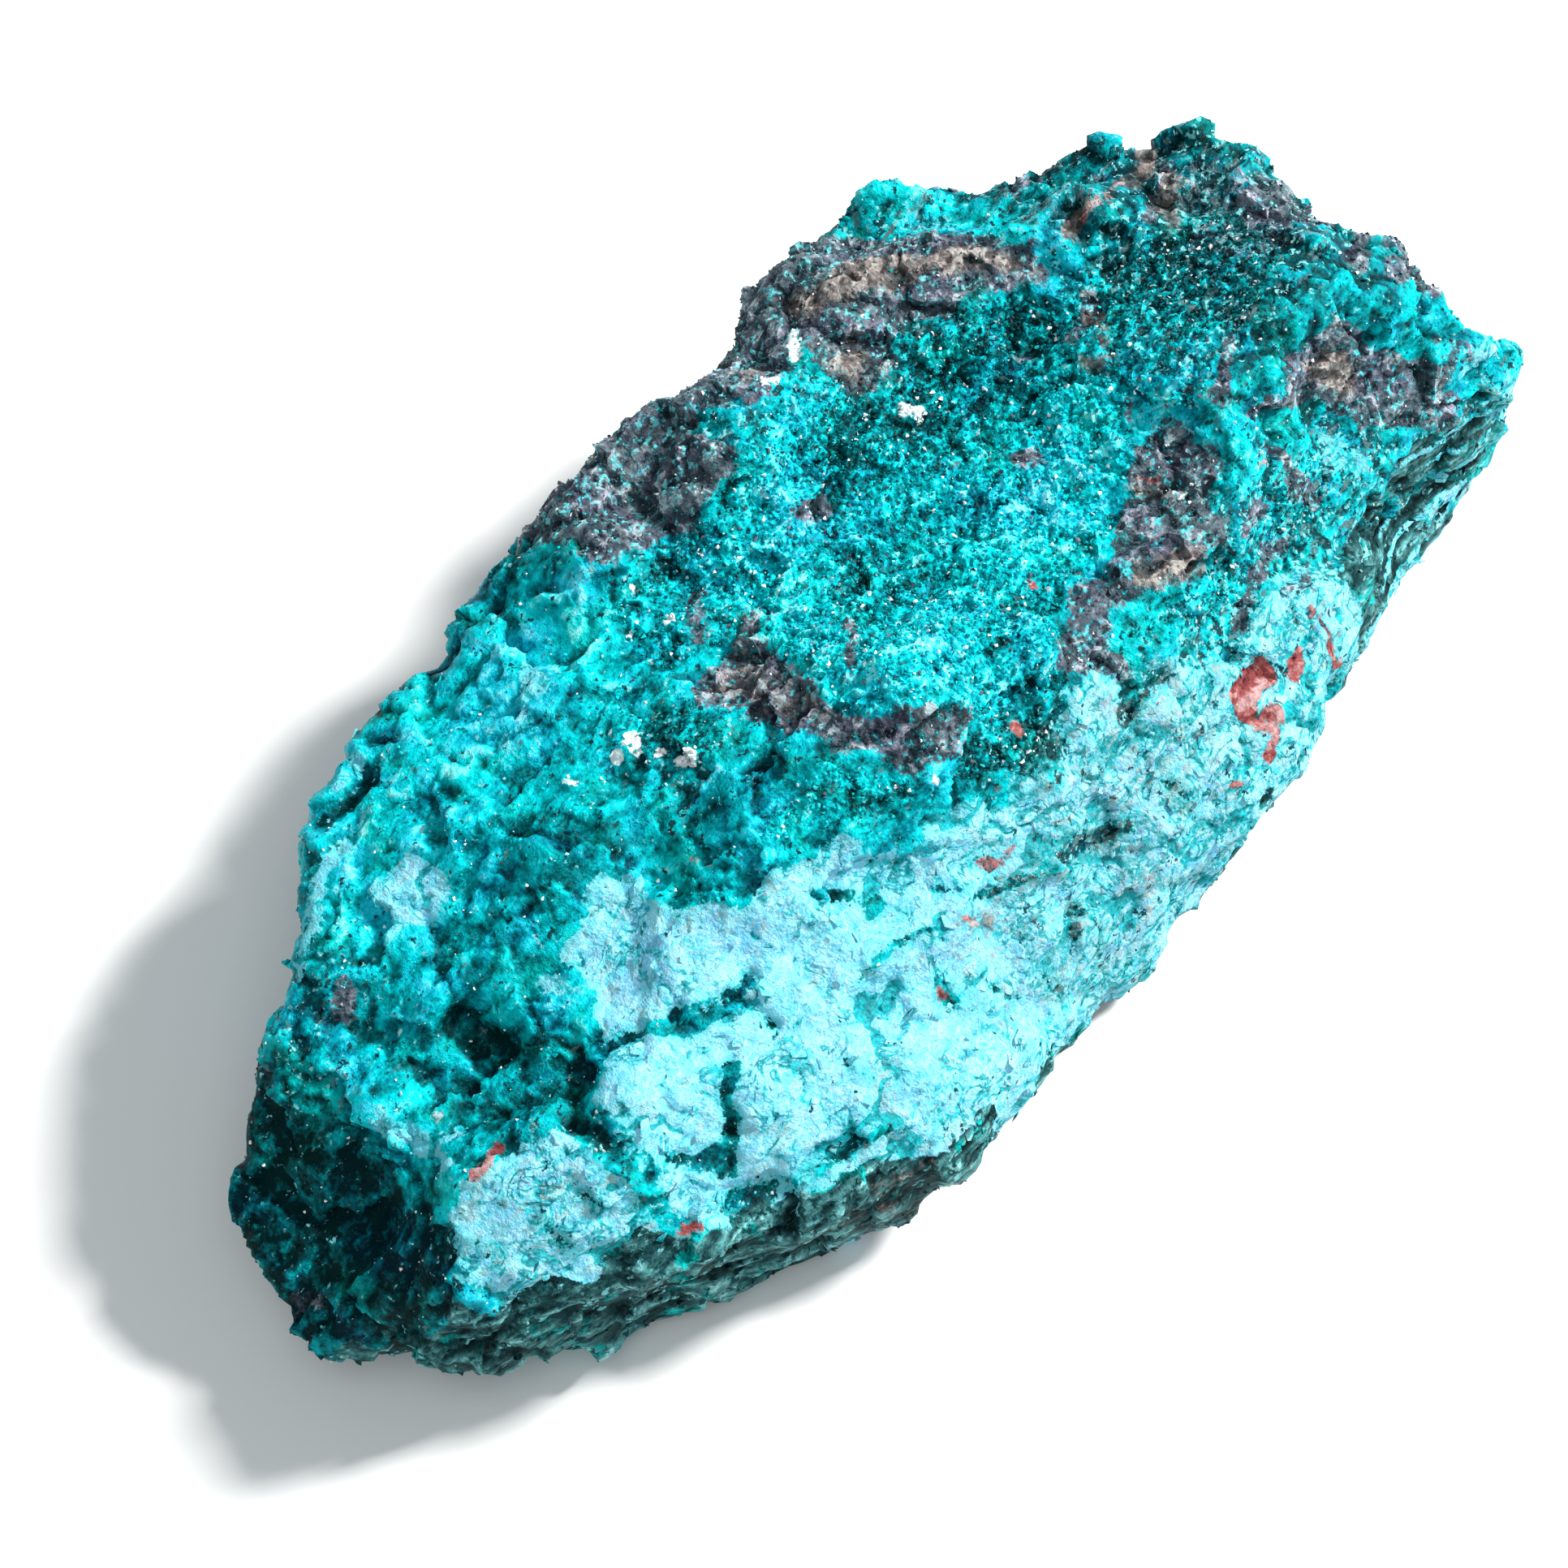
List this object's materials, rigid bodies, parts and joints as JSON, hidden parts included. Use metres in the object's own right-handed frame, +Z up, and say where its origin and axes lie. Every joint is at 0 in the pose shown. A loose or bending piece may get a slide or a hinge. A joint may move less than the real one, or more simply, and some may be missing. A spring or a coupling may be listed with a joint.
{
  "type": "chrysocolla specimen",
  "caption": "Rough broken lump of blue-green copper ore with a dished sparkling top, a dark ridge round it and a pale sloping flank, resting on a flat break.",
  "frame": {"origin": "on the resting plane, under the middle of the stone's box", "axes": "+X along the length to the broad broken end, -Y towards the pale sloping flank, +Z up"},
  "size_m": [0.089, 0.0426, 0.0235],
  "materials": {
    "chrysocolla_stone": "broken blue-green stone, matt to sugary, with pale blue crusts, dark grey sparkling matrix and rust-red spots"
  },
  "bodies": {
    "root": {"chrysocolla_rock": "chrysocolla_stone"}
  },
  "joints": []
}
